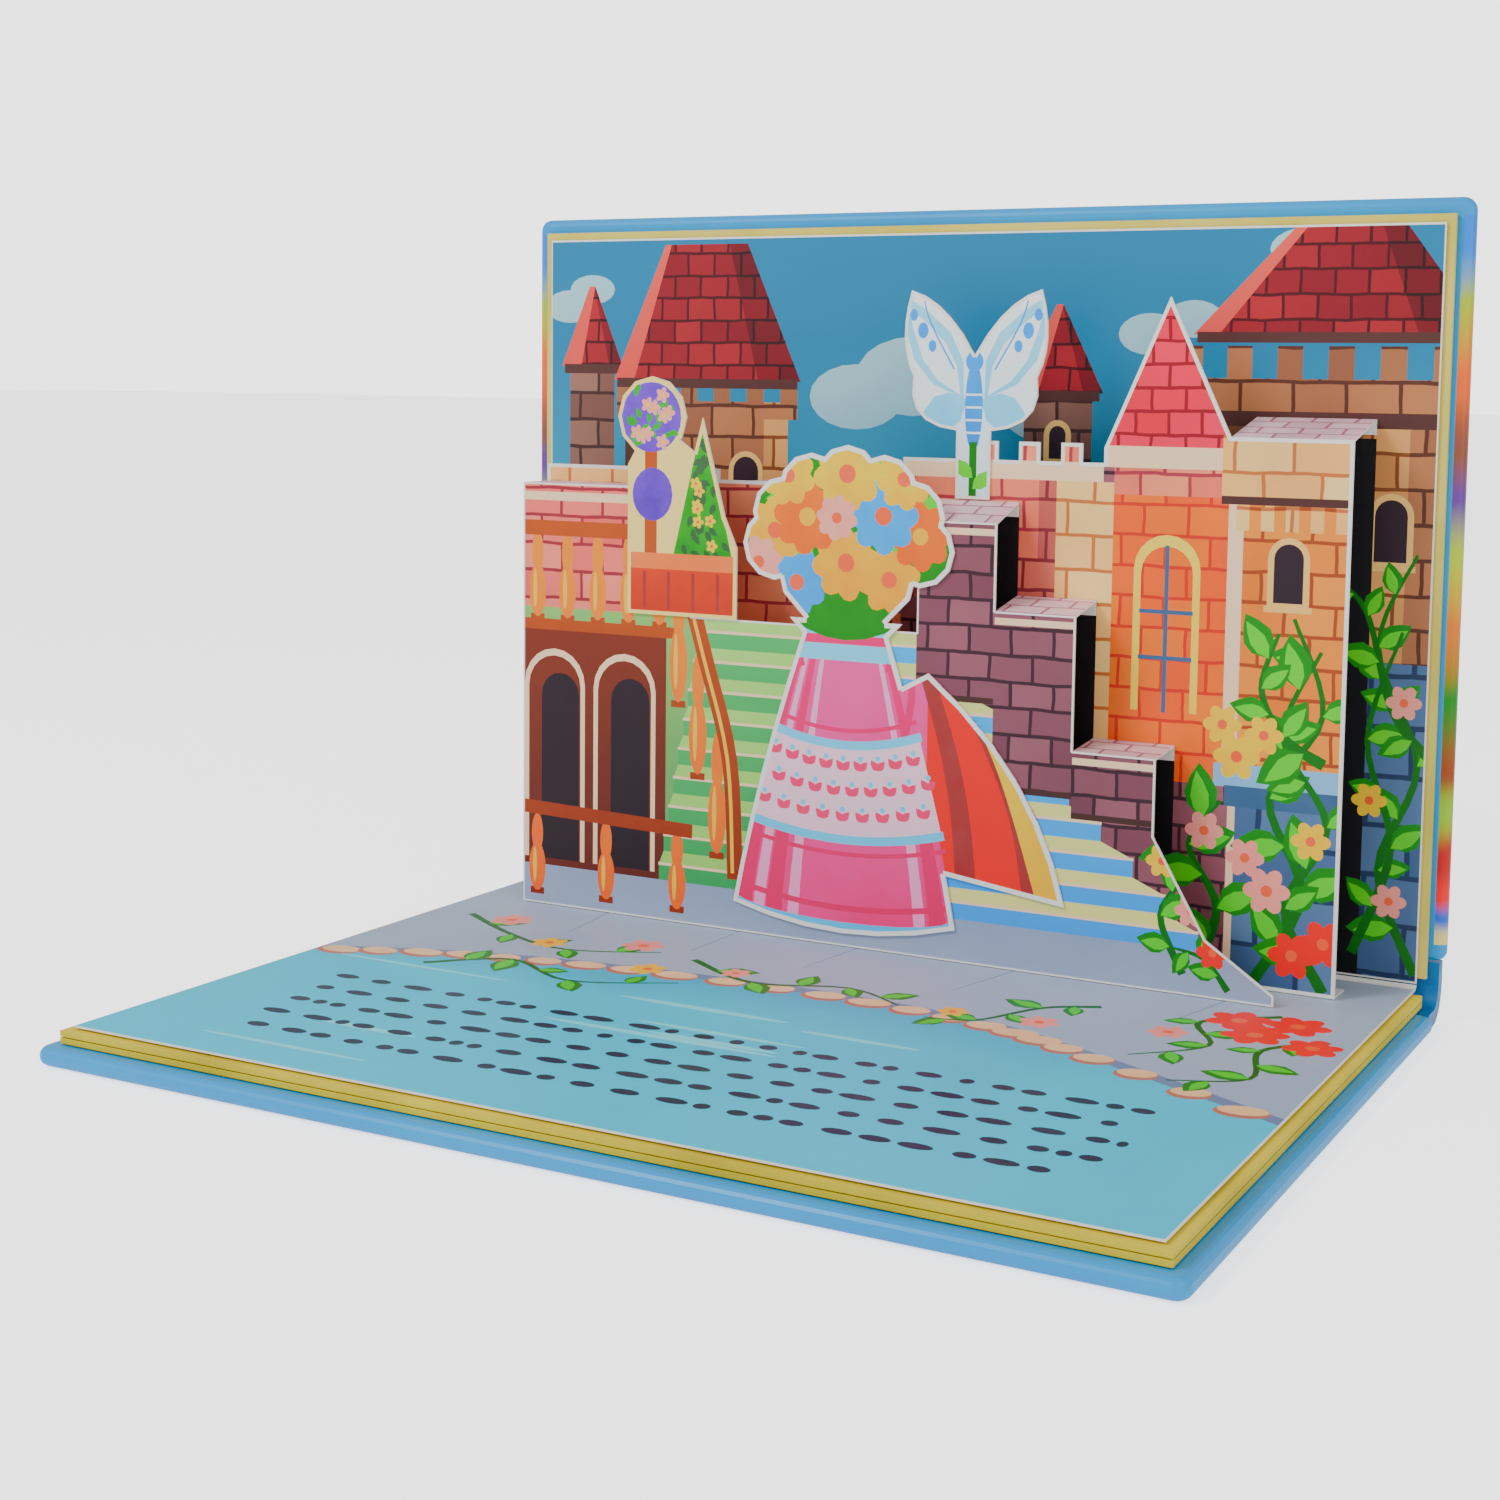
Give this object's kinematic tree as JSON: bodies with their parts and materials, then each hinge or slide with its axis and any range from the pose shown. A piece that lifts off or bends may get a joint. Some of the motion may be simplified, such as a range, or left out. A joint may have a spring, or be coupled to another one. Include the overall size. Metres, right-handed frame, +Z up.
{
  "type": "pop up book",
  "caption": "Landscape pop-up picture book with padded covers, standing open at a right angle, with a die-cut castle-wall and garden scene on card layers",
  "frame": {"origin": "the middle of the back cover's flat underside, on the table", "axes": "+X along the gutter to the reader's right, +Y away from the reader, +Z up"},
  "size_m": [0.283, 0.2098, 0.2114],
  "materials": {
    "lower_cover": "glossy film over padded board, cyan blue",
    "upper_cover": "glossy film over padded board, printed picture with a blue edge",
    "spine": "glossy film over a soft padded strip, blue",
    "lower_leaves": "cut edges of thick cream card",
    "upper_leaf": "cut edges of thick cream card",
    "lower_page": "satin printed card, water and stone colours",
    "upper_page": "satin printed card, sky and towers",
    "gutter_fold": "satin printed card, creased",
    "wall_card": "satin printed card with white cut edges",
    "front_card": "satin printed card with white cut edges",
    "urn_layer": "satin printed card with a white rim",
    "shrub_layer": "satin printed card with a cream rim",
    "butterfly_layer": "satin printed card with a white rim"
  },
  "bodies": {
    "back_half": {"lower_cover": "lower_cover", "lower_leaves": "lower_leaves", "lower_page": "lower_page", "spine": "spine", "gutter_fold": "gutter_fold", "wall_card": "wall_card", "front_card": "front_card", "urn_layer": "urn_layer", "shrub_layer": "shrub_layer", "butterfly_layer": "butterfly_layer"},
    "front_half": {"upper_cover": "upper_cover", "upper_leaf": "upper_leaf", "upper_page": "upper_page"}
  },
  "joints": [
    {"name": "cover_hinge", "type": "hinge", "parent": "back_half", "child": "front_half", "pos_m": [0, 0.10365, 0.01], "axis": [1, 0, 0], "range_deg": [-90, 90], "deforming": ["spine", "gutter_fold", "wall_card", "front_card", "urn_layer", "shrub_layer", "butterfly_layer"]}
  ]
}
